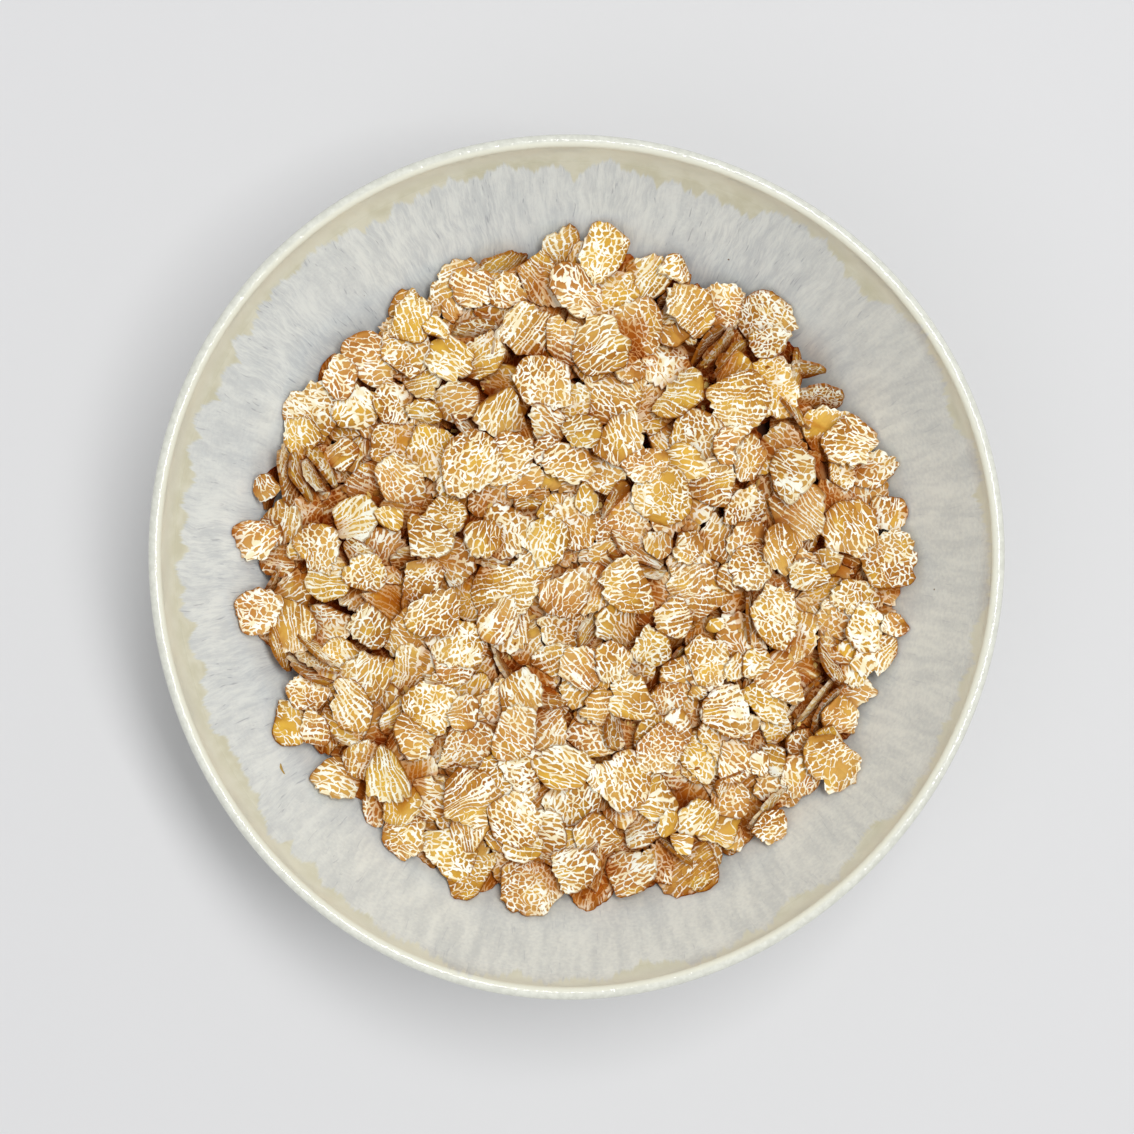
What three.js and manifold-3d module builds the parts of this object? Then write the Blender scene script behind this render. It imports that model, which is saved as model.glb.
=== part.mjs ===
// A small round stoneware bowl, slightly out of round, holding a low heap of rolled einkorn flakes.
// Millimetres, +Z up. The bowl stands on z = 0 and its outline is centred on the origin.

import * as THREE from "three";
import { mergeVertices } from "three/addons/utils/BufferGeometryUtils.js";
import Module from "manifold-3d";

// Bowl
const RIM_RADIUS = 60;
const BOWL_HEIGHT = 45;
const LIP_RADIUS = 0.95; // the rim is a half round of this radius
const WALL_AT_FOOT = 5; // wall thickness where the foot ring starts; the lip sets it at the rim
const FLOOR_HEIGHT = 5.5; // top of the floor inside, at the middle
const HOLLOW_POWER = 2.6; // how flat the floor stays before the wall climbs
const FOOT_RADIUS = 26;
const FOOT_RING = 4.5; // width of the ring that the bowl stands on
const FOOT_BEVEL = 0.8;
const FOOT_RECESS = 1.3; // the underside is set back by this much inside the ring
const BOWL_SEGMENTS = 56;
const WALL_STEPS = 9;
const WALL_CROWDING = 0.8; // below 1 the steps come closer together towards the rim
const WALL_JOIN = 0.5; // nearest that a step comes to the foot or to the lip
const LIP_STEPS = 4;

// Each wave makes the rim a little out of round: how many bulges, how far out, and where the first one is.
const OUT_OF_ROUND = [
  { bulges: 2, size: 0.33, turn: 172 },
  { bulges: 3, size: 0.52, turn: 57 },
];

// Heap
const HEAP_TOP = 33.6; // height of the flakes at the middle
const HEAP_RADIUS = 49;
const HEAP_FALL = 4.5; // how much lower the flakes lie at the edge of the heap
const HEAP_MIDDLE = { x: 1, y: -4.9 }; // the heap lies a little to one side of the bowl's axis
const FLAKE_COVER = 4.0; // depth of loose flakes over the bare core
const WALL_GAP = 0.35;

// Flakes
const FLAKE_COUNT = 640;
const FLAKE_THICKNESS = 0.65;
const FLAKE_LENGTH = { least: 5.7, most: 9.7 };
const BROKEN_LENGTH = { least: 2.6, most: 5.6 };
const BROKEN_SHARE = 0.24;
const FLAKE_SLIMNESS = { least: 0.72, most: 0.96 }; // width over length
const FLAKE_LOBES = [3, 5]; // waves around a flake's outline
const FLAKE_LOBE_SIZES = [0.06, 0.036]; // their heights, over the outline's own radius
const LEANING_SHARE = 0.1; // flakes that stand on edge
const LEAN = { least: 52, most: 74 };
const LEAN_SINK = 0.5; // a leaning flake is wedged this share of its height into the flakes below
const LEAN_RISE = 1.2; // the most that a leaning flake stands out over the heap's own shape
const STEEPEST = 0.6; // the most that a lying flake slopes
const FIRST_TIP = 0.32; // a flake tips by steps of slope that halve from the first to the last
const LAST_TIP = 0.02;
const SINK = 0.15; // how far a flake presses into what it lies on
const SPREAD_RADIUS = 50.4; // no flake has its middle further out from the heap's middle
const SPOTS_TRIED = 8; // a flake drops into the lowest of this many spots
const SEED = 20464;
const STREAM_FACTOR = 16807;
const STREAM_LIMIT = 2147483647;

// Faceted heap
const FUSED_FLAKES = 212;
const FLAKE_SIDES = 7;
const CORE_RADIUS = 44.5;
const CORE_SHOULDER = 1; // width of the slope from the core's edge up to its top
const CORE_SEGMENTS = 16;
const CORE_RINGS = 5;
const CORE_DROP = 0.4; // the core lies this far below the mean top of the flakes around it
const CORE_REACH = 3.5; // radius over which that mean is taken

// Height map that the flakes pile up on
const MAP_STEP = 0.8;
const MAP_CELLS = 156;

const WELD = 1e-4; // points closer than this are one

const innerRadius = RIM_RADIUS - 2 * LIP_RADIUS;
const innerTop = BOWL_HEIGHT - LIP_RADIUS;
const hollowDepth = innerTop - FLOOR_HEIGHT;

function hollowHeight(radius) {
  return FLOOR_HEIGHT + hollowDepth * (radius / innerRadius) ** HOLLOW_POWER;
}

function hollowSlope(radius) {
  return ((hollowDepth * HOLLOW_POWER) / innerRadius) * (radius / innerRadius) ** (HOLLOW_POWER - 1);
}

// Point under the hollow's surface at this radius, measured square to it.
function belowHollow(radius, depth) {
  const slope = hollowSlope(radius);
  const length = Math.hypot(1, slope);
  return new THREE.Vector2(radius + (depth * slope) / length, hollowHeight(radius) - depth / length);
}

function steps(count, from, to) {
  return Array.from({ length: count + 1 }, (_, i) => from + ((to - from) * i) / count);
}

function bulge(angle) {
  let sum = 0;
  for (const wave of OUT_OF_ROUND) {
    sum += wave.size * Math.cos(wave.bulges * angle - THREE.MathUtils.degToRad(wave.turn));
  }
  return sum / RIM_RADIUS;
}

// The bulges grow from the foot to the rim. Bowl and heap take the same shape, so the gap between them stays.
function makeOutOfRound(geometry) {
  const place = geometry.getAttribute("position");
  for (let i = 0; i < place.count; i += 1) {
    const [x, y, z] = [place.getX(i), place.getY(i), place.getZ(i)];
    const scale = 1 + (bulge(Math.atan2(y, x)) * z) / BOWL_HEIGHT;
    place.setXY(i, x * scale, y * scale);
  }
  return geometry;
}

// A solid of revolution about Z from (radius, height) points.
function turned(profile, segments) {
  const geometry = new THREE.LatheGeometry(profile, segments);
  geometry.rotateX(Math.PI / 2);
  return welded(geometry);
}

function welded(geometry) {
  geometry.deleteAttribute("normal");
  geometry.deleteAttribute("uv");
  return mergeVertices(geometry, WELD);
}

function bowlProfile() {
  const wallRadii = steps(WALL_STEPS, 0, 1).map((share) => innerRadius * share ** WALL_CROWDING);
  const thickness = (radius) => {
    const share = Math.max(0, (radius - FOOT_RADIUS) / (innerRadius - FOOT_RADIUS));
    return WALL_AT_FOOT + (2 * LIP_RADIUS - WALL_AT_FOOT) * share;
  };
  const outside = wallRadii
    .map((radius) => belowHollow(radius, thickness(radius)))
    .filter((point) => point.x > FOOT_RADIUS + WALL_JOIN && point.x < RIM_RADIUS - WALL_JOIN);
  const lipMiddle = new THREE.Vector2(RIM_RADIUS - LIP_RADIUS, innerTop);
  const lip = steps(LIP_STEPS, 0, Math.PI).map(
    (turn) =>
      new THREE.Vector2(lipMiddle.x + LIP_RADIUS * Math.cos(turn), lipMiddle.y + LIP_RADIUS * Math.sin(turn)),
  );
  const inside = wallRadii
    .slice(0, -1)
    .reverse()
    .map((radius) => new THREE.Vector2(radius, hollowHeight(radius)));
  const footInner = FOOT_RADIUS - FOOT_RING;
  const overFoot = 2 * FOOT_RADIUS - belowHollow(FOOT_RADIUS, WALL_AT_FOOT).x;
  const footTop = belowHollow(overFoot, WALL_AT_FOOT).y;
  return [
    new THREE.Vector2(0, FOOT_RECESS),
    new THREE.Vector2(footInner - FOOT_BEVEL, FOOT_RECESS),
    new THREE.Vector2(footInner, 0),
    new THREE.Vector2(FOOT_RADIUS - FOOT_BEVEL, 0),
    new THREE.Vector2(FOOT_RADIUS, FOOT_BEVEL),
    new THREE.Vector2(FOOT_RADIUS, footTop),
    ...outside,
    ...lip,
    ...inside,
  ];
}

// A repeatable stream of numbers between 0 and 1.
function numberStream(seed) {
  let state = seed;
  return () => {
    state = (state * STREAM_FACTOR) % STREAM_LIMIT;
    return state / STREAM_LIMIT;
  };
}

function between(range, share) {
  return range.least + (range.most - range.least) * share;
}

function heapHeight(x, y) {
  const radius = Math.hypot(x - HEAP_MIDDLE.x, y - HEAP_MIDDLE.y);
  return HEAP_TOP - HEAP_FALL * (radius / HEAP_RADIUS) ** 2;
}

// Heights over a square grid, starting from the bare core and the bowl's wall around it.
function bareHeights() {
  const heights = new Float64Array(MAP_CELLS * MAP_CELLS);
  for (let row = 0; row < MAP_CELLS; row += 1) {
    for (let column = 0; column < MAP_CELLS; column += 1) {
      const [x, y] = [cellMiddle(column), cellMiddle(row)];
      const wall = hollowHeight(Math.hypot(x, y)) + 2 * WALL_GAP;
      heights[row * MAP_CELLS + column] = Math.max(heapHeight(x, y) - FLAKE_COVER, wall);
    }
  }
  return heights;
}

function cellMiddle(index) {
  return (index + 0.5 - MAP_CELLS / 2) * MAP_STEP;
}

function cellAt(distance) {
  return Math.floor(distance / MAP_STEP + MAP_CELLS / 2);
}

function meanHeight(heights, x, y, reach) {
  let sum = 0;
  let count = 0;
  for (let row = cellAt(y - reach); row <= cellAt(y + reach); row += 1) {
    for (let column = cellAt(x - reach); column <= cellAt(x + reach); column += 1) {
      sum += heights[row * MAP_CELLS + column];
      count += 1;
    }
  }
  return sum / count;
}

// Draws one flake's own shape.
function drawFlake(draw) {
  const broken = draw() < BROKEN_SHARE;
  const length = between(broken ? BROKEN_LENGTH : FLAKE_LENGTH, draw());
  const width = length * between(FLAKE_SLIMNESS, draw());
  const yaw = Math.PI * draw();
  const lobes = FLAKE_LOBES.map(() => 2 * Math.PI * draw());
  const leans = draw() < LEANING_SHARE;
  const lean = leans ? THREE.MathUtils.degToRad(between(LEAN, draw())) : 0;
  return { broken, length, width, yaw, lobes, lean };
}

// The lowest of a few drawn spots, against the heap's own shape.
function dropSpot(draw, heights) {
  let best = null;
  for (let i = 0; i < SPOTS_TRIED; i += 1) {
    const radius = SPREAD_RADIUS * Math.sqrt(draw());
    const angle = 2 * Math.PI * draw();
    const x = HEAP_MIDDLE.x + radius * Math.cos(angle);
    const y = HEAP_MIDDLE.y + radius * Math.sin(angle);
    const depth = meanHeight(heights, x, y, MAP_STEP) - heapHeight(x, y);
    if (best === null || depth < best.depth) best = { x, y, depth };
  }
  return best;
}

// Cells of the height map under a flake, as offsets from its middle with their heights.
function cellsUnder(flake, heights) {
  const reach = flake.length / 2;
  const halfWidth = Math.max((flake.width / 2) * Math.cos(flake.lean), MAP_STEP);
  const [cos, sin] = [Math.cos(flake.yaw), Math.sin(flake.yaw)];
  const cells = [];
  for (let row = cellAt(flake.y - reach); row <= cellAt(flake.y + reach); row += 1) {
    for (let column = cellAt(flake.x - reach); column <= cellAt(flake.x + reach); column += 1) {
      const dx = cellMiddle(column) - flake.x;
      const dy = cellMiddle(row) - flake.y;
      const along = (dx * cos + dy * sin) / reach;
      const across = (dy * cos - dx * sin) / halfWidth;
      const index = row * MAP_CELLS + column;
      if (along * along + across * across <= 1) cells.push({ index, dx, dy, height: heights[index] });
    }
  }
  return cells;
}

// Height of a flake's middle when it rests on these cells at this slope.
function restingHeight(cells, slopeX, slopeY) {
  let highest = -Infinity;
  for (const cell of cells) {
    highest = Math.max(highest, cell.height - slopeX * cell.dx - slopeY * cell.dy);
  }
  return highest;
}

// A lying flake tips until its middle is as low as it can go.
function settle(cells) {
  let slope = [0, 0];
  let height = restingHeight(cells, 0, 0);
  for (let step = FIRST_TIP; step >= LAST_TIP; step /= 2) {
    for (let moved = true; moved; ) {
      moved = false;
      for (const [stepX, stepY] of [[step, 0], [-step, 0], [0, step], [0, -step]]) {
        const next = [slope[0] + stepX, slope[1] + stepY];
        const nextHeight = restingHeight(cells, ...next);
        if (Math.hypot(...next) <= STEEPEST && nextHeight < height - 1e-9) {
          slope = next;
          height = nextHeight;
          moved = true;
        }
      }
    }
  }
  return { slope, height };
}

// Drops the flakes one after another on the height map, and counts how much of each one shows from above.
function pileFlakes() {
  const draw = numberStream(SEED);
  const heights = bareHeights();
  const owner = new Int32Array(heights.length).fill(-1);
  const flakes = [];
  for (let k = 0; k < FLAKE_COUNT; k += 1) {
    const flake = drawFlake(draw);
    Object.assign(flake, dropSpot(draw, heights));
    const cells = cellsUnder(flake, heights);
    if (flake.lean > 0) {
      const rise = Math.tan(flake.lean);
      flake.slope = [-rise * Math.sin(flake.yaw), rise * Math.cos(flake.yaw)];
      const stands = flake.width * Math.sin(flake.lean);
      const wedged = restingHeight(cells, ...flake.slope) - LEAN_SINK * stands;
      flake.height = Math.min(wedged, heapHeight(flake.x, flake.y) + LEAN_RISE - stands / 2);
    } else {
      Object.assign(flake, settle(cells));
    }
    const upright = Math.hypot(1, ...flake.slope); // vertical over true thickness
    const top = flake.height - SINK + FLAKE_THICKNESS * upright;
    flake.z = flake.height - SINK + (FLAKE_THICKNESS * upright) / 2;
    for (const cell of cells) {
      const height = top + flake.slope[0] * cell.dx + flake.slope[1] * cell.dy;
      if (height > heights[cell.index]) {
        heights[cell.index] = height;
        owner[cell.index] = k;
      }
    }
    flakes.push(flake);
  }
  for (const flake of flakes) flake.shown = 0;
  for (const k of owner) if (k >= 0) flakes[k].shown += MAP_STEP ** 2;
  return { flakes, heights };
}

// A flake's turn and place: its length runs along X and its faces look along Z before this.
function flakePlacing(flake) {
  const up = new THREE.Vector3(-flake.slope[0], -flake.slope[1], 1).normalize();
  const [cos, sin] = [Math.cos(flake.yaw), Math.sin(flake.yaw)];
  const along = new THREE.Vector3(cos, sin, flake.slope[0] * cos + flake.slope[1] * sin).normalize();
  const across = new THREE.Vector3().crossVectors(up, along);
  return new THREE.Matrix4().makeBasis(along, across, up).setPosition(flake.x, flake.y, flake.z);
}

function flakeGeometry(flake) {
  const outline = steps(FLAKE_SIDES, 0, 2 * Math.PI)
    .slice(0, -1)
    .map((turn) => {
      let uneven = 1;
      FLAKE_LOBES.forEach((waves, i) => {
        uneven += FLAKE_LOBE_SIZES[i] * Math.cos(waves * turn + flake.lobes[i]);
      });
      return new THREE.Vector2(
        (flake.length / 2) * uneven * Math.cos(turn),
        (flake.width / 2) * uneven * Math.sin(turn),
      );
    });
  const plate = new THREE.ExtrudeGeometry(new THREE.Shape(outline), {
    depth: FLAKE_THICKNESS,
    bevelEnabled: false,
  });
  plate.translate(0, 0, -FLAKE_THICKNESS / 2);
  return welded(plate).applyMatrix4(flakePlacing(flake));
}

// The heap without its loose flakes: the bowl's hollow below, and the mean top of the flakes above.
function coreGeometry(heights) {
  const below = steps(CORE_RINGS, 0, CORE_RADIUS).map((radius) => belowHollow(radius, -WALL_GAP));
  const above = steps(CORE_RINGS, CORE_RADIUS - CORE_SHOULDER, 0).map(
    (radius) => new THREE.Vector2(radius, BOWL_HEIGHT),
  );
  const geometry = turned([...below, ...above], CORE_SEGMENTS);
  const place = geometry.getAttribute("position");
  for (let i = 0; i < place.count; i += 1) {
    const [x, y] = [place.getX(i), place.getY(i)];
    const top = Math.min(meanHeight(heights, x, y, CORE_REACH), heapHeight(x, y)) - CORE_DROP;
    if (place.getZ(i) > top) place.setZ(i, top);
  }
  return geometry;
}

// The room inside the bowl, clear of its wall.
function roomGeometry() {
  const wall = steps(2 * WALL_STEPS, 0, innerRadius).map((radius) => belowHollow(radius, -WALL_GAP));
  return turned([...wall, new THREE.Vector2(0, BOWL_HEIGHT)], BOWL_SEGMENTS);
}

const wasm = await Module();
wasm.setup();

function toSolid(geometry) {
  const vertProperties = new Float32Array(geometry.getAttribute("position").array);
  const triVerts = new Uint32Array(geometry.getIndex().array);
  return new wasm.Manifold(new wasm.Mesh({ numProp: 3, vertProperties, triVerts }));
}

function toGeometry(solid) {
  const mesh = solid.getMesh();
  const geometry = new THREE.BufferGeometry();
  geometry.setAttribute("position", new THREE.BufferAttribute(new Float32Array(mesh.vertProperties), 3));
  geometry.setIndex(new THREE.BufferAttribute(new Uint32Array(mesh.triVerts), 1));
  return geometry;
}

// Core and best seen flakes as one body. Sealed pockets fill up and loose scraps drop out.
function heapGeometry() {
  const { flakes, heights } = pileFlakes();
  const seen = flakes.toSorted((one, other) => other.shown - one.shown).slice(0, FUSED_FLAKES);
  let heap = toSolid(coreGeometry(heights));
  for (const flake of seen) heap = heap.add(toSolid(flakeGeometry(flake)));
  const bodies = heap.intersect(toSolid(roomGeometry())).decompose();
  bodies.sort((one, other) => other.volume() - one.volume());
  return toGeometry(bodies[0]);
}

function subPart(name, geometry, colour, roughness) {
  makeOutOfRound(geometry).computeVertexNormals();
  const material = new THREE.MeshStandardMaterial({ color: colour, roughness, metalness: 0 });
  const mesh = new THREE.Mesh(geometry, material);
  mesh.name = name;
  return mesh;
}

const bowl = subPart("bowl", turned(bowlProfile(), BOWL_SEGMENTS), 0xd6d6cd, 0.3);
const flakes = subPart("flakes", heapGeometry(), 0xccac7d, 0.8);

const part = new THREE.Group();
part.add(bowl, flakes);
bowl.geometry.computeBoundingBox();
const outlineMiddle = bowl.geometry.boundingBox.getCenter(new THREE.Vector3());
part.position.set(-outlineMiddle.x, -outlineMiddle.y, 0);

export default part;
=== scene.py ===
# %% [markdown]
# # A bowl of rolled einkorn flakes
# This lesson dresses a packed CAD model: a small stoneware bowl and a heap of flakes in it. The CAD
# solids already have the true sizes, so every piece made here is worked out from the same few measures
# and lands in the same place. Lengths are in millimetres and become metres only when a mesh is written.

import math

import bmesh
import bpy
import numpy as np
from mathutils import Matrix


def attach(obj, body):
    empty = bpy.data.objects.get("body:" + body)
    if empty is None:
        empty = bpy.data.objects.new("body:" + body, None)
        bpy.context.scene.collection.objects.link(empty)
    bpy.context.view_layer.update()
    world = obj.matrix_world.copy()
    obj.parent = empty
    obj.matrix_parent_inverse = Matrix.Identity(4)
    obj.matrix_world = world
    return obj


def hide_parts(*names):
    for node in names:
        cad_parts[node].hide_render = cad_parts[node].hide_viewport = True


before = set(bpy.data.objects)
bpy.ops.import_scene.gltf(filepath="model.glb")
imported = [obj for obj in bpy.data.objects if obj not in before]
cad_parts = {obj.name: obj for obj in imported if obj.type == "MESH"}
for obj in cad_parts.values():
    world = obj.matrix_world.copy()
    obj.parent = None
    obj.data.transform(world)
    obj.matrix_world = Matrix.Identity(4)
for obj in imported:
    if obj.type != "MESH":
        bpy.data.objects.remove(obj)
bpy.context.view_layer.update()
MM = 0.001

# %% [markdown]
# ## The bowl's shape
# The real bowl was turned on a wheel: a round foot ring, a wall that curves up, and a soft rounded lip.
# A turned thing is easiest to make from half of its cross section. The hollow follows one power curve,
# and the outside is the same curve set back by the wall's thickness, so a handful of measures give the
# whole section.

# %% Measures of the bowl
RIM_RADIUS = 60.0
BOWL_HEIGHT = 45.0
LIP_RADIUS = 0.95
WALL_AT_FOOT = 5.0
FLOOR_HEIGHT = 5.5
HOLLOW_POWER = 2.6
FOOT_RADIUS = 26.0
FOOT_RING = 4.5
FOOT_ROUNDING = 0.8
FOOT_RECESS = 1.3
OUT_OF_ROUND = ((2, 0.33, 172.0), (3, 0.52, 57.0))  # bulges, size in mm, turn in degrees

INNER_RADIUS = RIM_RADIUS - 2 * LIP_RADIUS
LIP_HEIGHT = BOWL_HEIGHT - LIP_RADIUS
HOLLOW_DEPTH = LIP_HEIGHT - FLOOR_HEIGHT


def hollow_height(radius):
    return FLOOR_HEIGHT + HOLLOW_DEPTH * (radius / INNER_RADIUS) ** HOLLOW_POWER


def below_hollow(radius, depth):
    """The point this far under the hollow's surface, measured square to it."""
    slope = HOLLOW_DEPTH * HOLLOW_POWER / INNER_RADIUS * (radius / INNER_RADIUS) ** (HOLLOW_POWER - 1)
    length = math.hypot(1.0, slope)
    return radius + depth * slope / length, hollow_height(radius) - depth / length


def bulged(places):
    """Places in mm with the rim's slight bulges, which grow from the foot to the rim."""
    x, y, z = places.T
    angle = np.arctan2(y, x)
    scale = np.ones(len(places))
    for bulges, size, turn in OUT_OF_ROUND:
        scale += size / RIM_RADIUS * np.cos(bulges * angle - math.radians(turn)) * z / BOWL_HEIGHT
    return np.column_stack([x * scale, y * scale, z])


print("hollow is", round(HOLLOW_DEPTH, 1), "mm deep and", 2 * INNER_RADIUS, "mm wide at the lip")

# %% [markdown]
# ## Turning the bowl
# The section starts under the middle of the foot, runs out and up the outside, over the lip and down
# the hollow to the middle again. A spin about the Z axis makes the bowl from it in one step. Each point
# also keeps how far in from the rim it lies, with a minus sign on the outside, so that the glaze can
# change there.

# %% Draw the section and spin it
WALL_POINTS = 44
LIP_POINTS = 14
ROUNDING_POINTS = 4
SPIN_STEPS = 180
MERGE_DISTANCE = 1e-4
TOUCHING = 0.01  # mm


def arc(middle, radius, first, last, count):
    turns = np.radians(np.linspace(first, last, count))
    return [(middle[0] + radius * math.cos(turn), middle[1] + radius * math.sin(turn)) for turn in turns]


def bowl_section():
    """The outside from the middle of the foot to the lip, and the inside from the lip to the middle."""
    ring_inner = FOOT_RADIUS - FOOT_RING
    foot = [(0.0, FOOT_RECESS), (ring_inner - FOOT_ROUNDING, FOOT_RECESS), (ring_inner, 0.0)]
    foot += arc((FOOT_RADIUS - FOOT_ROUNDING, FOOT_ROUNDING), FOOT_ROUNDING, -90, 0, ROUNDING_POINTS)
    over_foot = 2 * FOOT_RADIUS - below_hollow(FOOT_RADIUS, WALL_AT_FOOT)[0]
    wall = []
    for radius in np.linspace(over_foot, INNER_RADIUS, WALL_POINTS):
        share = (radius - over_foot) / (INNER_RADIUS - over_foot)
        thickness = WALL_AT_FOOT + (2 * LIP_RADIUS - WALL_AT_FOOT) * share
        wall.append(below_hollow(radius, thickness))
    wall = [point for point in wall if point[0] < RIM_RADIUS - LIP_RADIUS / 4]
    lip = arc((RIM_RADIUS - LIP_RADIUS, LIP_HEIGHT), LIP_RADIUS, 0, 180, LIP_POINTS)
    hollow = [(radius, hollow_height(radius)) for radius in np.linspace(INNER_RADIUS, 0.0, WALL_POINTS)]
    return foot + wall, lip + hollow[1:]


def put_in_scene(name, data):
    thing = bpy.data.objects.new(name, data)
    bpy.context.scene.collection.objects.link(thing)
    return thing


def new_piece(name, mesh, node):
    """A finished piece: shown, riding on the one body, standing for its CAD node."""
    piece = put_in_scene(name, mesh)
    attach(piece, "root")
    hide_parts(node)
    return piece


def turned_mesh(name, section):
    """A closed mesh, in mm, from a section of (radius, height) points that starts and ends on the axis."""
    bm = bmesh.new()
    corners = [bm.verts.new((radius, 0.0, height)) for radius, height in section]
    for one, other in zip(corners, corners[1:]):
        bm.edges.new((one, other))
    bmesh.ops.spin(
        bm, geom=bm.verts[:] + bm.edges[:], cent=(0, 0, 0), axis=(0, 0, 1), dvec=(0, 0, 0),
        angle=2 * math.pi, steps=SPIN_STEPS, use_merge=True,
    )
    bmesh.ops.remove_doubles(bm, verts=bm.verts[:], dist=MERGE_DISTANCE)
    bmesh.ops.recalc_face_normals(bm, faces=bm.faces[:])
    for face in bm.faces:
        face.smooth = True
    mesh = bpy.data.meshes.new(name)
    bm.to_mesh(mesh)
    bm.free()
    return mesh


def places_of(mesh):
    flat = np.empty(3 * len(mesh.vertices))
    mesh.vertices.foreach_get("co", flat)
    return flat.reshape(-1, 3)


def set_places(mesh, places):
    mesh.vertices.foreach_set("co", np.ascontiguousarray(places, dtype=np.float32).ravel())
    mesh.update()


def add_values(mesh, name, values):
    layer = mesh.attributes.new(name, "FLOAT", "POINT")
    layer.data.foreach_set("value", np.asarray(values, dtype=np.float32))


def in_frame(places):
    """Places in mm about the bowl's axis as places in metres in the CAD frame."""
    return (bulged(places) - MIDDLE) * MM


outside, inside = bowl_section()
bowl_mesh = turned_mesh("glazed_bowl", outside + inside)
round_places = places_of(bowl_mesh)
radii = np.hypot(round_places[:, 0], round_places[:, 1])
inside_floor = np.array([hollow_height(min(radius, INNER_RADIUS)) for radius in radii])
on_inside = (round_places[:, 2] > inside_floor - TOUCHING) | (round_places[:, 2] > LIP_HEIGHT)
add_values(bowl_mesh, "from_rim", np.where(on_inside, RIM_RADIUS - radii, radii - RIM_RADIUS))
bowl_places = bulged(round_places)
outline_middle = (bowl_places.min(axis=0) + bowl_places.max(axis=0))[:2] / 2
MIDDLE = np.array([outline_middle[0], outline_middle[1], 0.0])
set_places(bowl_mesh, in_frame(round_places))
bowl = new_piece("glazed_bowl", bowl_mesh, "bowl")
print("bowl has", len(bowl_mesh.polygons), "faces")
print("its axis is off the middle of its outline by", np.round(outline_middle, 2), "mm")

# %% [markdown]
# ## How the flakes come to lie
# The flakes were poured: each one came to rest on those before it. A physics simulation could do that,
# but it is slow and hard to repeat. Instead a grid of heights stands for the heap so far. Each flake
# drops into the lowest of a few spots, tips until its middle is as low as it can go, and raises the
# grid where it lies. The draws come from a short number stream with a fixed start, so the flakes lie as
# in the CAD heap every time.

# %% Measures of the heap
HEAP_TOP = 33.6
HEAP_RADIUS = 49.0
HEAP_FALL = 4.5
HEAP_MIDDLE = (1.0, -4.9)
FLAKE_COVER = 4.0
WALL_GAP = 0.35
FLAKE_COUNT = 640
FLAKE_THICKNESS = 0.65
FLAKE_LENGTH = (5.7, 9.7)
BROKEN_LENGTH = (2.6, 5.6)
BROKEN_SHARE = 0.24
FLAKE_SLIMNESS = (0.72, 0.96)
FLAKE_LOBES = (3, 5)
FLAKE_LOBE_SIZES = (0.06, 0.036)
LEANING_SHARE = 0.1
LEAN = (52.0, 74.0)
LEAN_SINK = 0.5
LEAN_RISE = 1.2
STEEPEST = 0.6
FIRST_TIP = 0.32
LAST_TIP = 0.02
LEAST_GAIN = 1e-9
SINK = 0.15
SPREAD_RADIUS = 50.4
SPOTS_TRIED = 8
SEED = 20464
STREAM_FACTOR = 16807
STREAM_LIMIT = 2147483647
MAP_STEP = 0.8
MAP_CELLS = 156


def number_stream(seed):
    """Endless numbers between 0 and 1, the same ones every time."""
    state = seed
    while True:
        state = state * STREAM_FACTOR % STREAM_LIMIT
        yield state / STREAM_LIMIT


def between(limits, share):
    return limits[0] + (limits[1] - limits[0]) * share


def heap_height(x, y):
    squared = (x - HEAP_MIDDLE[0]) ** 2 + (y - HEAP_MIDDLE[1]) ** 2
    return HEAP_TOP - HEAP_FALL * squared / HEAP_RADIUS**2


def from_middle(radius, angle):
    """The spot this far from the heap's middle, in this direction."""
    return HEAP_MIDDLE[0] + radius * math.cos(angle), HEAP_MIDDLE[1] + radius * math.sin(angle)


def cell_at(distance):
    return math.floor(distance / MAP_STEP + MAP_CELLS / 2)


def around(x, y, reach):
    """The patch of the grid within reach of a spot."""
    rows = slice(cell_at(y - reach), cell_at(y + reach) + 1)
    columns = slice(cell_at(x - reach), cell_at(x + reach) + 1)
    return rows, columns


cell_middles = (np.arange(MAP_CELLS) + 0.5 - MAP_CELLS / 2) * MAP_STEP
MAP_X, MAP_Y = np.meshgrid(cell_middles, cell_middles)
bare_heights = np.maximum(
    heap_height(MAP_X, MAP_Y) - FLAKE_COVER,
    hollow_height(np.hypot(MAP_X, MAP_Y)) + 2 * WALL_GAP,
)
print("a grid of", MAP_CELLS, "by", MAP_CELLS, "cells, lowest at", round(bare_heights.min(), 1), "mm")

# %% Drop the flakes one after another


def drawn_flake(draw):
    broken = next(draw) < BROKEN_SHARE
    length = between(BROKEN_LENGTH if broken else FLAKE_LENGTH, next(draw))
    width = length * between(FLAKE_SLIMNESS, next(draw))
    yaw = math.pi * next(draw)
    lobes = [2 * math.pi * next(draw) for _ in FLAKE_LOBES]
    leans = next(draw) < LEANING_SHARE
    lean = math.radians(between(LEAN, next(draw))) if leans else 0.0
    return {"broken": broken, "length": length, "width": width, "yaw": yaw, "lobes": lobes, "lean": lean}


def drop_spot(draw, heights, tries, spread):
    """The lowest of the drawn spots, against the heap's own shape."""
    spots = []
    for _ in range(tries):
        radius = spread * math.sqrt(next(draw))
        x, y = from_middle(radius, 2 * math.pi * next(draw))
        spots.append((heights[around(x, y, MAP_STEP)].mean() - heap_height(x, y), x, y))
    return min(spots)[1:]


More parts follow.
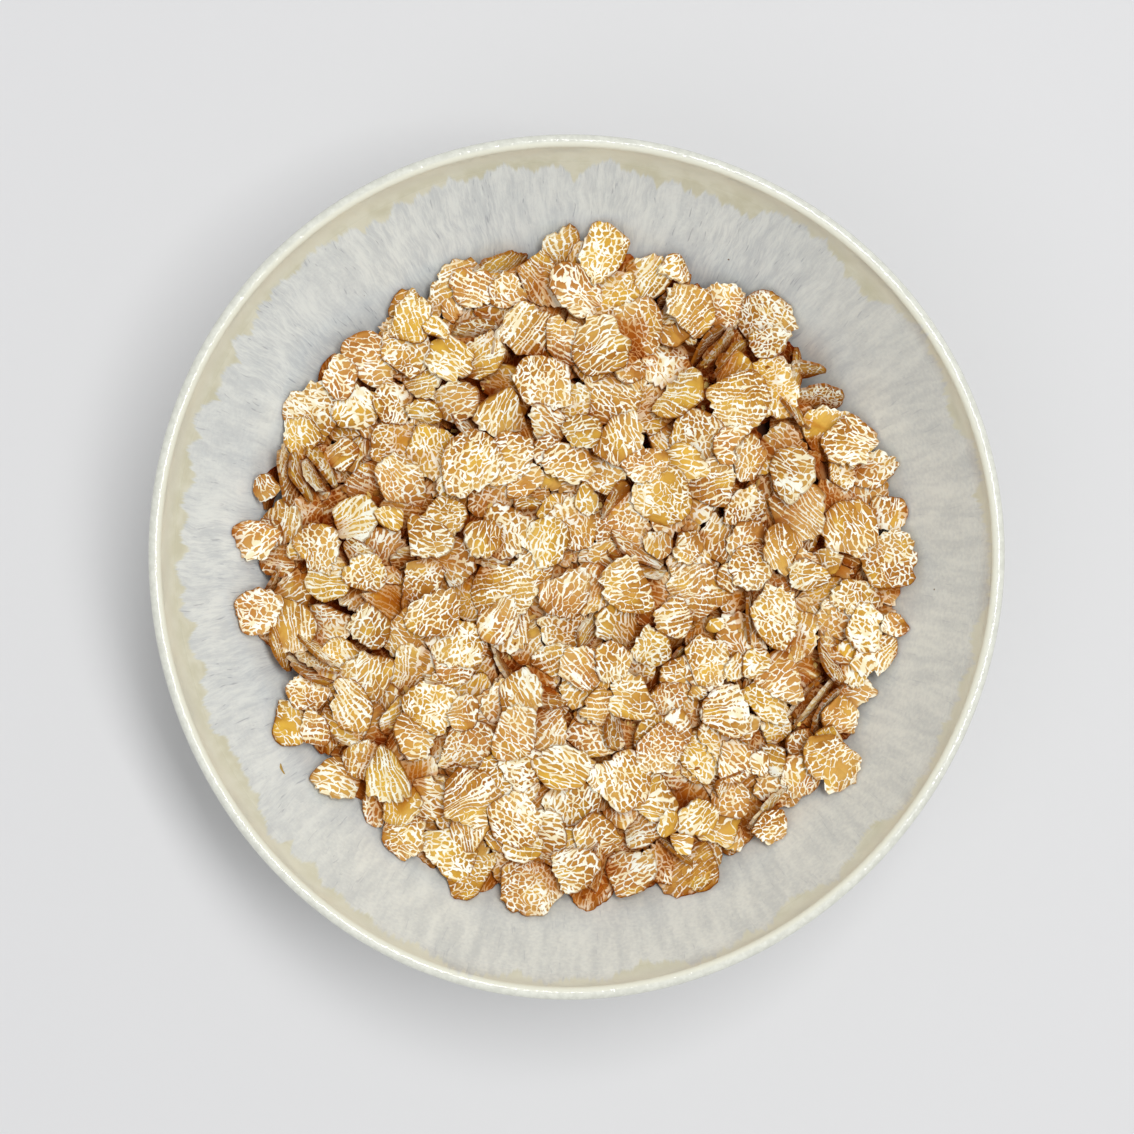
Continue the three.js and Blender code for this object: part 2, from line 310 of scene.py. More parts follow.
def cells_under(flake):
    """The grid cells under a flake, and how far each one lies from its middle."""
    half_length = flake["length"] / 2
    half_width = max(flake["width"] / 2 * math.cos(flake["lean"]), MAP_STEP)
    patch = around(flake["x"], flake["y"], half_length)
    dx = MAP_X[patch] - flake["x"]
    dy = MAP_Y[patch] - flake["y"]
    cos, sin = math.cos(flake["yaw"]), math.sin(flake["yaw"])
    along = (dx * cos + dy * sin) / half_length
    across = (dy * cos - dx * sin) / half_width
    rows, columns = np.nonzero(along**2 + across**2 <= 1)
    return (rows + patch[0].start, columns + patch[1].start), dx[rows, columns], dy[rows, columns]


def settled(under, dx, dy):
    """The slope at which a lying flake's middle is lowest, and that height."""
    slope, height = (0.0, 0.0), under.max()
    step = FIRST_TIP
    while step >= LAST_TIP:
        moved = True
        while moved:
            moved = False
            for step_x, step_y in ((step, 0), (-step, 0), (0, step), (0, -step)):
                tipped = (slope[0] + step_x, slope[1] + step_y)
                lowest = (under - tipped[0] * dx - tipped[1] * dy).max()
                if math.hypot(*tipped) <= STEEPEST and lowest < height - LEAST_GAIN:
                    slope, height, moved = tipped, lowest, True
        step /= 2
    return slope, height


def leaning(flake, under, dx, dy):
    """The slope of a flake that leans between its neighbours, and the height of its middle."""
    rise = math.tan(flake["lean"])
    slope = (-rise * math.sin(flake["yaw"]), rise * math.cos(flake["yaw"]))
    stands = flake["width"] * math.sin(flake["lean"])
    wedged = (under - slope[0] * dx - slope[1] * dy).max() - LEAN_SINK * stands
    return slope, min(wedged, heap_height(flake["x"], flake["y"]) + LEAN_RISE - stands / 2)


def upright_thickness(slope):
    """How thick a sloping flake is, measured straight up."""
    return FLAKE_THICKNESS * math.sqrt(1 + slope[0] ** 2 + slope[1] ** 2)


def lay(flake, heights):
    """Lays a flake on the heap so far, and raises the grid where it lies."""
    cells, dx, dy = cells_under(flake)
    if flake["lean"] > 0:
        slope, height = leaning(flake, heights[cells], dx, dy)
    else:
        slope, height = settled(heights[cells], dx, dy)
    thickness = upright_thickness(slope)
    flake["slope"] = slope
    flake["z"] = height - SINK + thickness / 2
    top = height - SINK + thickness + slope[0] * dx + slope[1] * dy
    heights[cells] = np.maximum(heights[cells], top)


flakes = []
heap_tops = bare_heights.copy()
draw = number_stream(SEED)
for _ in range(FLAKE_COUNT):
    flake = drawn_flake(draw)
    flake["x"], flake["y"] = drop_spot(draw, heap_tops, SPOTS_TRIED, SPREAD_RADIUS)
    lay(flake, heap_tops)
    flakes.append(flake)
print(len(flakes), "flakes,", sum(flake["broken"] for flake in flakes), "of them broken")

# %% [markdown]
# ## Flakes on edge
# Here and there a few flakes stand on edge, side by side like books on a shelf. Dropping flakes one by
# one hardly ever gives such a stack, and a simulation would not put it where the photograph has it. So
# the whole flakes on top that lie nearest to each place are taken up and put back upright, and the grid
# of heights is worked out once more.

# %% Stand some flakes up
STANDING = (  # middle in mm, turn in degrees, and how many
    (-38.6, 12.9, 111.0, 4),
    (-37.4, -13.7, 152.0, 3),
    (-10.3, -13.5, 118.0, 1),
    (20.7, 30.2, 50.0, 3),
    (32.6, 27.9, 0.0, 1),
    (31.9, 22.4, 133.0, 1),
    (35.1, -20.6, 52.0, 3),
    (22.9, -31.5, 39.0, 1),
)
STANDING_LEAN = (64.0, 78.0)
STANDING_TURN = 5.0  # degrees, the usual difference between neighbours
STANDING_RISE = 0.8
STANDING_REACH = 3 * MAP_STEP
SIDE_BY_SIDE = 1.8
TOP_DEPTH = 1.0  # a flake on top has its middle no further than this below the heights there
STAND_SEED = 3
stand_draw = np.random.default_rng(STAND_SEED)


def lies_on_top(flake):
    top = heap_tops[cell_at(flake["y"]), cell_at(flake["x"])]
    return flake["lean"] == 0 and not flake["broken"] and top - flake["z"] < TOP_DEPTH


def stand_up(x, y, turn, count):
    def distance(flake):
        return math.hypot(flake["x"] - x, flake["y"] - y)

    nearest = sorted(filter(lies_on_top, flakes), key=distance)
    for number, flake in enumerate(nearest[:count]):
        aside = (number - (count - 1) / 2) * SIDE_BY_SIDE
        yaw = math.radians(turn + stand_draw.normal(0.0, STANDING_TURN))
        lean = math.radians(between(STANDING_LEAN, stand_draw.random()))
        flake.update(x=x - aside * math.sin(yaw), y=y + aside * math.cos(yaw), yaw=yaw, lean=lean)
        flake["slope"] = (-math.tan(lean) * math.sin(yaw), math.tan(lean) * math.cos(yaw))
        top = heap_tops[around(flake["x"], flake["y"], STANDING_REACH)].mean() + STANDING_RISE
        flake["z"] = top - flake["width"] / 2 * math.sin(lean)


def tops_of_flakes():
    heights = bare_heights.copy()
    for flake in flakes:
        cells, dx, dy = cells_under(flake)
        slope = flake["slope"]
        top = flake["z"] + upright_thickness(slope) / 2 + slope[0] * dx + slope[1] * dy
        heights[cells] = np.maximum(heights[cells], top)
    return heights


for place in STANDING:
    stand_up(*place)
heap_tops = tops_of_flakes()
print(sum(place[-1] for place in STANDING), "flakes stand on edge at", len(STANDING), "places")

# %% [markdown]
# ## Filling the gaps
# Taking flakes up leaves holes. More flakes of the same sizes could go exactly there, but on the real
# heap loose flakes slide into any hollow. So each of these drops into the lowest of many spots. Around
# the flakes on edge a step as high as the bowl is added to the grid, and none lands there and covers
# them.

# %% Drop more flakes into the lowest spots
FILLERS = 32
FILL_SPOTS = 150
FILL_RADIUS = 40.0
FREE_AROUND = 6.5  # mm around each place with flakes on edge

kept_free = np.zeros_like(heap_tops)
for x, y, _, _ in STANDING:
    kept_free[np.hypot(MAP_X - x, MAP_Y - y) < FREE_AROUND] = BOWL_HEIGHT
for _ in range(FILLERS):
    flake = drawn_flake(draw) | {"lean": 0.0}
    flake["x"], flake["y"] = drop_spot(draw, heap_tops + kept_free, FILL_SPOTS, FILL_RADIUS)
    lay(flake, heap_tops)
    flakes.append(flake)
on_heap = np.hypot(MAP_X - HEAP_MIDDLE[0], MAP_Y - HEAP_MIDDLE[1]) < FILL_RADIUS
print(FILLERS, "more flakes; the highest top is at", round(heap_tops[on_heap].max(), 1), "mm")

# %% [markdown]
# ## The blank that every flake starts from
# A rolled flake is a thin plate with a crisp torn edge. A disc with a few rings, closed below by one
# fan, is enough: every flake trims and bends its own copy. The copies of one kind are written into a
# single mesh from arrays, because hundreds of separate objects would be slow to handle.

# %% Make the blank with insets and an extrusion
SPOKES = 44
RING_WIDTHS = (0.06, 0.28, 0.34)  # from the edge inwards, on a disc of radius 1


def taken_apart(bm):
    """The places and faces of a bmesh as arrays. The bmesh itself is let go."""
    bm.verts.index_update()
    places = np.array([vert.co[:] for vert in bm.verts])
    faces = np.array([[vert.index for vert in face.verts] for face in bm.faces])
    bm.free()
    return places, faces


def flake_blank():
    """Ring, angle, side and faces of a closed disc: side is 1 on top and -1 below."""
    bm = bmesh.new()
    bmesh.ops.create_circle(bm, cap_ends=True, segments=SPOKES, radius=1.0)
    for width in RING_WIDTHS:
        middle = max(bm.faces, key=lambda face: len(face.verts))
        bmesh.ops.inset_region(bm, faces=[middle], thickness=width, use_even_offset=True)
    bmesh.ops.poke(bm, faces=[max(bm.faces, key=lambda face: len(face.verts))])
    rim = [edge for edge in bm.edges if edge.is_boundary]
    below = bmesh.ops.extrude_edge_only(bm, edges=rim)["geom"]
    lower = [item for item in below if isinstance(item, bmesh.types.BMVert)]
    bmesh.ops.translate(bm, verts=lower, vec=(0, 0, -1.0))
    rim = [edge for edge in bm.edges if edge.is_boundary]
    bmesh.ops.poke(bm, faces=bmesh.ops.contextual_create(bm, geom=rim)["faces"])
    bmesh.ops.recalc_face_normals(bm, faces=bm.faces[:])
    bmesh.ops.triangulate(bm, faces=bm.faces[:])
    places, faces = taken_apart(bm)
    ring = np.hypot(places[:, 0], places[:, 1])
    angle = np.arctan2(places[:, 1], places[:, 0])
    return ring, angle, np.where(places[:, 2] > -0.5, 1.0, -1.0), faces


BLANK_RING, BLANK_ANGLE, BLANK_SIDE, BLANK_FACES = flake_blank()
BLANK_SPOKE = np.round(BLANK_ANGLE / (2 * math.pi / SPOKES)).astype(int) % SPOKES
print("a blank has", len(BLANK_RING), "points and", len(BLANK_FACES), "triangles")

# %% [markdown]
# ## Shaping one flake
# The roller squeezes a kernel flat. Its outline is a lobed oval that tapers, with a few straight sides
# where it split, smooth along the skin and toothed at the end that tore. A few scanned flakes could be
# copied over and over, but the eye finds repeats, so each flake is drawn anew. The plate bends a
# little, and where it would reach into the bowl's wall it is raised clear of it. Its pattern is laid
# out flat in a UV map in millimetres, turned and stretched for each flake and fanned towards one end,
# because the bran cracks along the kernel.

# %% Outline, bend and thickness
EDGE_THICKNESS = 0.6  # of the thickness in the middle
EDGE_POWER = 12  # how late the plate thins towards its edge
FULL_REACH = 1.05
STRAIGHT_SIDES = (2, 6)
STRAIGHT_AT = (0.8, 0.98)
LEAST_FACING = 0.05
SMOOTH_EDGE = 0.014
TORN_EDGE = 0.045
TORN_WIDTH = (1.5, -0.2)
TAPER = 0.17
NOTCHES = (1, 4)
NOTCH_DEPTH = (0.04, 0.13)
NOTCH_SPREAD = SPOKES / 7
BEND = (0.36, 0.26, 0.26)  # along, across and twisted, in mm at the edge
RIPPLE = 0.04
RIPPLE_WAVES = (4.0, 3.4)
PATTERN_TURN = 0.7
STRETCH = (0.42, 0.92)
FAN = 0.3
UV_SPREAD = 400.0
UNDER_CLEARANCE = 0.1  # mm between a flake's underside and the bowl's wall
TOP_CLEARANCE = 0.5
SHAPE_SEED = 7
shape_draw = np.random.default_rng(SHAPE_SEED)


def outline(flake):
    """How far out each spoke reaches, against the flake's oval, and the direction of the torn end."""
    turns = np.arange(SPOKES) * 2 * math.pi / SPOKES
    reach = np.full(SPOKES, FULL_REACH)
    for waves, size, turn in zip(FLAKE_LOBES, FLAKE_LOBE_SIZES, flake["lobes"]):
        reach += size * np.cos(waves * turns + turn)
    for _ in range(shape_draw.integers(*STRAIGHT_SIDES)):
        facing = np.cos(turns - 2 * math.pi * shape_draw.random())
        straight = between(STRAIGHT_AT, shape_draw.random()) / np.maximum(facing, LEAST_FACING)
        reach = np.minimum(reach, straight)
    torn_at = 2 * math.pi * shape_draw.random()
    torn = np.clip(TORN_WIDTH[0] * np.cos(turns - torn_at) + TORN_WIDTH[1], 0.0, 1.0)
    reach += (SMOOTH_EDGE + TORN_EDGE * torn) * shape_draw.standard_normal(SPOKES)
    for _ in range(shape_draw.integers(*NOTCHES)):
        spoke = (np.argmax(torn) + int(shape_draw.normal(0.0, NOTCH_SPREAD))) % SPOKES
        depth = between(NOTCH_DEPTH, shape_draw.random())
        reach[spoke] -= depth
        reach[(spoke + 1) % SPOKES] -= depth * shape_draw.random()
    return reach, torn_at


def shaped_flake(flake):
    """A flake's points in its own frame in mm, their flat pattern, the way to the torn end, the stretch."""
    reach, torn_at = outline(flake)
    reach = 1 + (reach[BLANK_SPOKE] - 1) * BLANK_RING**2
    along = BLANK_RING * reach * np.cos(BLANK_ANGLE)
    taper = 1 + shape_draw.normal(0.0, TAPER) * along
    across = BLANK_RING * reach * np.sin(BLANK_ANGLE) * taper
    u, v = flake["length"] / 2 * along, flake["width"] / 2 * across
    bend = shape_draw.normal(0.0, BEND)
    rise = bend[0] * along**2 + bend[1] * across**2 + bend[2] * along * across
    phases = 2 * math.pi * shape_draw.random(2)
    waves = RIPPLE_WAVES[0] * along + phases[0], RIPPLE_WAVES[1] * across + phases[1]
    rise += RIPPLE * np.sin(waves[0]) * np.cos(waves[1])
    half = FLAKE_THICKNESS / 2 * (1 - (1 - EDGE_THICKNESS) * BLANK_RING**EDGE_POWER)
    w = rise - rise.mean() + BLANK_SIDE * half
    turn = shape_draw.normal(0.0, PATTERN_TURN)
    stretch = between(STRETCH, shape_draw.random())
    lengthwise = u * math.cos(turn) + v * math.sin(turn)
    fan = 1 + shape_draw.normal(0.0, FAN) * lengthwise / u.max()
    sideways = (v * math.cos(turn) - u * math.sin(turn)) * fan
    shift = UV_SPREAD * shape_draw.random(2)
    pattern = np.column_stack([lengthwise * stretch + shift[0], sideways + shift[1]])
    return np.column_stack([u, v, w]), pattern, BLANK_RING * np.cos(BLANK_ANGLE - torn_at), stretch


def laid(flake, points):
    """The points turned and moved to where the flake lies."""
    slope_x, slope_y = flake["slope"]
    cos, sin = math.cos(flake["yaw"]), math.sin(flake["yaw"])
    up = np.array([-slope_x, -slope_y, 1.0])
    along = np.array([cos, sin, slope_x * cos + slope_y * sin])
    up /= np.linalg.norm(up)
    along /= np.linalg.norm(along)
    turn = np.stack([along, np.cross(up, along), up])
    return points @ turn + (flake["x"], flake["y"], flake["z"])


def clear_of_wall(points):
    """The points, raised where they would reach into the bowl's wall."""
    wall = hollow_height(np.hypot(points[:, 0], points[:, 1]))
    lowest = wall + np.where(BLANK_SIDE > 0, TOP_CLEARANCE, UNDER_CLEARANCE)
    return np.column_stack([points[:, :2], np.maximum(points[:, 2], lowest)])


print("one flake spans", np.round(np.ptp(shaped_flake(flakes[0])[0], axis=0), 1), "mm")

# %% [markdown]
# ## One mesh for each kind of flake
# Most flakes show bran that has crazed all over. Some keep smooth skin where the germ was, and some are
# broken bits. Each kind is one piece with its own finish. A material for every flake could give them
# their differences, but values on the points do it with one. Every point carries its flake's tone and
# hue, how heavily it has crazed, whether its cracks form a ladder, how its pattern is stretched, how
# near the edge it is and how far towards the torn end. It also carries how far below its neighbours it
# lies, for painted shade: the light down there has passed through other flakes and is dim and brown.

# %% Write the flakes
SMOOTH_SHARE = 0.15
LADDER_SHARE = 0.28
CRISP_ANGLE = 50.0
SHADE_CELLS = 2  # grid cells to every side that can take a point's light
FLAKE_VALUES = ("tone", "hue", "crazing", "ladder", "stretch", "edge", "end", "low")


def tops_nearby():
    """The highest top within reach of every grid cell."""
    highest = heap_tops
    for step in range(1, SHADE_CELLS + 1):
        for axis in (0, 1):
            highest = np.maximum(highest, np.roll(heap_tops, step, axis))
            highest = np.maximum(highest, np.roll(heap_tops, -step, axis))
    return highest


def lowness(places):
    """How far each place lies below the tops around it, in mm."""
    columns, rows = np.floor(places[:, :2].T / MAP_STEP + MAP_CELLS / 2).astype(int)
    return highest_tops[rows, columns] - places[:, 2]


def all_over(value):
    """One value for every point of a flake."""
    return np.full(len(BLANK_RING), value)


def flake_mesh(name, group):
    places, patterns, faces = [], [], []
    values = {value_name: [] for value_name in FLAKE_VALUES}
    for number, flake in enumerate(group):
        points, pattern, end, stretch = shaped_flake(flake)
        places.append(clear_of_wall(laid(flake, points)))
        values["low"].append(lowness(places[-1]))
        patterns.append(pattern)
        faces.append(BLANK_FACES + number * len(BLANK_RING))
        for random_value in ("tone", "hue", "crazing"):
            values[random_value].append(all_over(shape_draw.random()))
        values["ladder"].append(all_over(float(shape_draw.random() < LADDER_SHARE)))
        values["stretch"].append(all_over(stretch))
        values["edge"].append(BLANK_RING)
        values["end"].append(end)
    places = in_frame(np.concatenate(places))
    faces = np.concatenate(faces)
    mesh = bpy.data.meshes.new(name)
    mesh.from_pydata(places.tolist(), [], faces.tolist())
    mesh.shade_smooth()
    mesh.set_sharp_from_angle(angle=math.radians(CRISP_ANGLE))
    layer = mesh.uv_layers.new(name="flat_pattern")
    corners = np.concatenate(patterns)[faces.ravel()]
    layer.uv.foreach_set("vector", corners.astype(np.float32).ravel())
    for value_name, parts in values.items():
        add_values(mesh, value_name, np.concatenate(parts))
    return mesh


highest_tops = tops_nearby()
kinds = {"crazed_flakes": [], "smooth_flakes": [], "broken_flakes": []}
for flake in flakes:
    smooth = shape_draw.random() < SMOOTH_SHARE
    whole = "smooth_flakes" if smooth else "crazed_flakes"
    kinds["broken_flakes" if flake["broken"] else whole].append(flake)
flake_pieces = {}
for kind, group in kinds.items():
    flake_pieces[kind] = new_piece(kind, flake_mesh(kind, group), "flakes")
    print(kind, len(group), "flakes,", len(flake_pieces[kind].data.polygons), "triangles")

# %% [markdown]
# ## What lies under the flakes
# Between the flakes one looks down on more flakes in the shade. The hollow could be filled with flakes
# down to its floor, but hardly any of them would be seen. So a spiral sets out one loose layer, evenly
# and without a grid, and its flakes settle on the bare heights that the pile started from. Below that a
# core of the heap's own shape closes the view: it is turned like the bowl and follows the hollow with a
# small gap.

# %% Lay the lower layer and turn the core
UNDER_COUNT = 190
UNDER_RADIUS = 42.0
UNDER_DROP = 0.5
UNDER_SLOPE = 0.08
FLAKE_DRAWS = 16  # enough numbers for one flake
GOLDEN_ANGLE = math.pi * (3 - math.sqrt(5))
CORE_RADIUS = 41.5
CORE_POINTS = 26
CORE_DROP = 1.3
CORE_EDGE = 1.0


def under_flake(number):
    radius = UNDER_RADIUS * math.sqrt((number + 0.5) / UNDER_COUNT)
    x, y = from_middle(radius, number * GOLDEN_ANGLE)
    flake = drawn_flake(iter(shape_draw.random(FLAKE_DRAWS)))
    flake.update(x=x, y=y, lean=0.0)
    cells, dx, dy = cells_under(flake)
    slope, height = settled(bare_heights[cells], dx, dy)
    flake["slope"] = tuple(slope + shape_draw.normal(0.0, UNDER_SLOPE, 2))
    flake["z"] = height - UNDER_DROP
    return flake


def core_mesh():
    lower = [below_hollow(radius, -WALL_GAP) for radius in np.linspace(0.0, CORE_RADIUS, CORE_POINTS)]
    upper = [(radius, BOWL_HEIGHT) for radius in np.linspace(CORE_RADIUS - CORE_EDGE, 0.0, CORE_POINTS)]
    mesh = turned_mesh("flake_core", lower + upper)
    places = places_of(mesh)
    top = places[:, 2] > BOWL_HEIGHT - TOUCHING
    places[top, 2] = heap_height(places[top, 0], places[top, 1]) - FLAKE_COVER - CORE_DROP
    set_places(mesh, in_frame(places))
    return mesh


under_mesh = flake_mesh("under_flakes", [under_flake(number) for number in range(UNDER_COUNT)])
flake_pieces["under_flakes"] = new_piece("under_flakes", under_mesh, "flakes")
core = new_piece("flake_core", core_mesh(), "flakes")
print("lower layer has", len(under_mesh.polygons), "triangles, core has", len(core.data.polygons), "faces")

# %% [markdown]
# ## Crumbs
# Rolling and pouring chip the flakes, and the chips sift down between them. Particles could scatter
# them, but a mesh is what the export keeps. Each crumb is a squashed ball of few faces with its points
# pushed about. It lies in the lowest of a few spots, so the crumbs gather in the gaps. One curled
# sliver of husk lies on the wall of the bowl.

# %% Scatter the crumbs
CRUMB_COUNT = 140
CRUMB_LENGTH = (0.5, 1.5)
CRUMB_RADIUS = 38.0
CRUMB_SPOTS = 14
CRUMB_SHAPE = (0.5, 0.32, 0.16)  # half lengths over the whole length
CRUMB_DENTS = 0.18
CRUMB_SLOPE = 0.3
HUSK_AT = (-42.2, -29.5)
HUSK_SHAPE = (1.0, 0.22, 0.12)
HUSK_TURN = -65.0
HUSK_CURL = 0.4
HUSK_TONE = 2.0  # crumbs have tones from 0 to 1


def crumb_blank():
    bm = bmesh.new()
    bmesh.ops.create_icosphere(bm, subdivisions=1, radius=1.0)
    return taken_apart(bm)


def crumb_spot():
    spots = []
    for _ in range(CRUMB_SPOTS):
        radius = CRUMB_RADIUS * math.sqrt(shape_draw.random())
        x, y = from_middle(radius, 2 * math.pi * shape_draw.random())
        top = heap_tops[cell_at(y), cell_at(x)]
        spots.append((top - heap_height(x, y), x, y, top))
    return min(spots)[1:]


def husk(ball):
    """A curled sliver that lies along the slope of the bowl's wall."""
    sliver = ball * HUSK_SHAPE
    sliver[:, 1] += HUSK_CURL * sliver[:, 0] ** 2
    radius = math.hypot(*HUSK_AT)
    climb = hollow_height(radius + 0.5) - hollow_height(radius - 0.5)
    lying = {"x": HUSK_AT[0], "y": HUSK_AT[1], "z": hollow_height(radius) + HUSK_SHAPE[2]}
    lying["slope"] = tuple(climb * side / radius for side in HUSK_AT)
    lying["yaw"] = math.radians(HUSK_TURN)
    return laid(lying, sliver)


def crumbs_mesh():
    ball, ball_faces = crumb_blank()
    places, faces, tones = [husk(ball)], [ball_faces], [np.full(len(ball), HUSK_TONE)]
    for number in range(1, CRUMB_COUNT + 1):
        length = between(CRUMB_LENGTH, shape_draw.random() ** 2)
        dents = 1 + shape_draw.normal(0.0, CRUMB_DENTS, ball.shape)
        lying = dict(zip("xyz", crumb_spot()))
        lying["slope"] = tuple(shape_draw.normal(0.0, CRUMB_SLOPE, 2))
        lying["yaw"] = math.pi * shape_draw.random()
        places.append(laid(lying, ball * dents * length * np.array(CRUMB_SHAPE)))
        faces.append(ball_faces + number * len(ball))
        tones.append(np.full(len(ball), shape_draw.random()))
    mesh = bpy.data.meshes.new("crumbs")
    places = in_frame(np.concatenate(places))
    mesh.from_pydata(places.tolist(), [], np.concatenate(faces).tolist())
    add_values(mesh, "tone", np.concatenate(tones))
    return mesh


crumbs = new_piece("crumbs", crumbs_mesh(), "flakes")
print(CRUMB_COUNT, "crumbs of", len(crumbs.data.polygons), "triangles in all")

# %% [markdown]
# ## Building node trees with short calls
# Materials are webs of small nodes. Wired one by one, each node takes several lines. A few helpers keep
# the cells that follow short: one adds a node and sets or links its inputs, and the others wrap the
# sums, mixes, ramps and noises that every finish needs.

# %% Node helpers


class Web:
    def __init__(self, tree):
        self.tree = tree

    def put(self, value, socket):
        if isinstance(value, bpy.types.NodeSocket):
            self.tree.links.new(value, socket)
        else:
            socket.default_value = value

    def fill(self, node, inputs):
        for name, value in inputs.items():
            self.put(value, node.inputs[name])

    def add(self, kind, inputs=None, **settings):
        made = self.tree.nodes.new("ShaderNode" + kind)
        for name, value in settings.items():
            setattr(made, name, value)
        self.fill(made, inputs or {})
        return made

    def math(self, operation, *values):
        return self.add("Math", dict(enumerate(values)), operation=operation).outputs[0]

    def plus(self, first, second):
        return self.math("ADD", first, second)

    def times(self, first, second):
        return self.math("MULTIPLY", first, second)

    def vector(self, operation, *values):
        inputs = dict(zip((0, "Scale") if operation == "SCALE" else (0, 1), values))
        made = self.add("VectorMath", inputs, operation=operation)
        return made.outputs["Value" if operation in ("LENGTH", "DOT_PRODUCT") else "Vector"]

    def mix(self, share, first, second, blend="MIX"):
        inputs = {0: share, 6: first, 7: second}
        return self.add("Mix", inputs, data_type="RGBA", blend_type=blend).outputs[2]

    def mean(self, share, first, second):
        """A number between two others."""
        return self.add("Mix", {0: share, 2: first, 3: second}).outputs[0]

    def ramp(self, value, low, high, out_low=0.0, out_high=1.0):
        """Eases from out_low to out_high as the value goes from low to high."""
        inputs = {"Value": value, "From Min": low, "From Max": high, "To Min": out_low, "To Max": out_high}
        return self.add("MapRange", inputs, interpolation_type="SMOOTHSTEP").outputs["Result"]

    def noise(self, vector, scale, detail=2.0, roughness=0.5):
        inputs = {"Vector": vector, "Scale": scale, "Detail": detail, "Roughness": roughness}
        return self.add("TexNoise", inputs).outputs

    def drift(self, vector, scale, reach):
        """A push to any side that changes from place to place."""
        push = self.vector("SUBTRACT", self.noise(vector, scale, 1.0)["Color"], (0.5, 0.5, 0.5))
        return self.vector("MULTIPLY", push, reach)

    def bump(self, height, strength, depth):
        """Relief of this depth in mm."""
        inputs = {"Strength": strength, "Distance": depth * MM, "Height": height}
        return self.add("Bump", inputs).outputs["Normal"]

    def attribute(self, name):
        return self.add("Attribute", attribute_name=name).outputs["Fac"]


def colour(red, green, blue):
    """A screen colour from 0 to 255 as the linear colour that shaders take."""
    linear = [channel / 255 for channel in (red, green, blue)]
    linear = [c / 12.92 if c <= 0.04045 else ((c + 0.055) / 1.055) ** 2.4 for c in linear]
    return (*linear, 1.0)


def new_material(name):
    material = bpy.data.materials.new(name)
    material.use_nodes = True
    return material, Web(material.node_tree), material.node_tree.nodes["Principled BSDF"]


print("helpers ready:", ", ".join(name for name in vars(Web) if not name.startswith("_")))

# %% [markdown]
# ## Crazed bran
# When a kernel is rolled flat its brown bran shatters like dry mud, and the white flour inside shows in
# the cracks. A painted picture could show them, but it would repeat and blur. The border between the
# two nearest points of a Voronoi pattern draws such cracks on every flake anew. The pattern is
# stretched along the kernel, so the distance to the border is measured back in true millimetres to keep
# the cracks equally fine. On some flakes long cracks run side by side with short ones across, like a
# ladder, and two patterns along a line give those. All cracks wander, because noise pushes the
# coordinates about first. Their width swells over a flake and their edges fray.

# %% Distances to the cracks
CELL = 0.76  # mm across a plate of bran
STRIP = 0.72  # mm between the long cracks of a ladder
RUNG = 0.9  # mm between the short cracks across it
RUNG_FINENESS = (1.2, 0.05)  # rungs are finer than the long cracks


def plates(web, moved, stretch):
    """Distance in mm to the nearest crack, a number for each plate, and how far the crack runs across."""
    cells = {"Vector": moved, "Scale": 1 / CELL}
    nearest = web.add("TexVoronoi", cells, voronoi_dimensions="2D", feature="F1").outputs
    second = web.add("TexVoronoi", cells, voronoi_dimensions="2D", feature="F2").outputs
    facing = web.vector("NORMALIZE", web.vector("SUBTRACT", second["Position"], nearest["Position"]))
    halfway = web.vector("SCALE", web.vector("ADD", second["Position"], nearest["Position"]), 0.5)
    border = web.vector("DOT_PRODUCT", web.vector("SUBTRACT", halfway, moved), facing)
    squeeze = web.add("CombineXYZ", {"X": stretch, "Y": 1.0}).outputs[0]
    border = web.math("DIVIDE", border, web.vector("LENGTH", web.vector("MULTIPLY", facing, squeeze)))
    crosswise = web.math("ABSOLUTE", web.add("SeparateXYZ", {"Vector": facing}).outputs["X"])
    return border, web.add("SeparateColor", {"Color": nearest["Color"]}).outputs[0], crosswise


def cracked_line(web, along, spacing):
    """Distance in mm to the nearest crack along a line, and a number for the stretch between two cracks."""
    inputs = {"W": along, "Scale": 1 / spacing}
    nearest = web.add("TexVoronoi", inputs, voronoi_dimensions="1D").outputs["Color"]
    border = web.add("TexVoronoi", inputs, voronoi_dimensions="1D", feature="DISTANCE_TO_EDGE")
    number = web.add("SeparateColor", {"Color": nearest}).outputs[0]
    return web.times(border.outputs["Distance"], spacing), number


def ladder(web, moved, stretch):
    """Long cracks side by side, and short ones across that stop at them."""
    parts = web.add("SeparateXYZ", {"Vector": moved}).outputs
    sides, strip = cracked_line(web, parts["Y"], STRIP)
    lengthwise = web.math("MULTIPLY_ADD", strip, UV_SPREAD, web.math("DIVIDE", parts["X"], stretch))
    rungs, plate = cracked_line(web, lengthwise, RUNG)
    return web.math("MINIMUM", sides, web.math("MULTIPLY_ADD", rungs, *RUNG_FINENESS)), plate


print("plates of bran are", CELL, "mm across, ladders are", STRIP, "mm wide")

# %% Shader group for the cracks
WANDER = (1.5, 1.5, 0.0)
TREMBLE = (0.45, 0.45, 0.0)
SWELLING = (0.4, 1.55)
FRAYING = (-0.075, 0.085)  # mm
CROSSWISE_WIDTH = 0.75
FLOURY = 0.9  # wider by this share in floury spots
CLOSED = 0.4  # mm narrower where the skin is whole
SOFTNESS = 0.05
RIM_WIDTH = 0.3  # mm of deeper bran along a crack


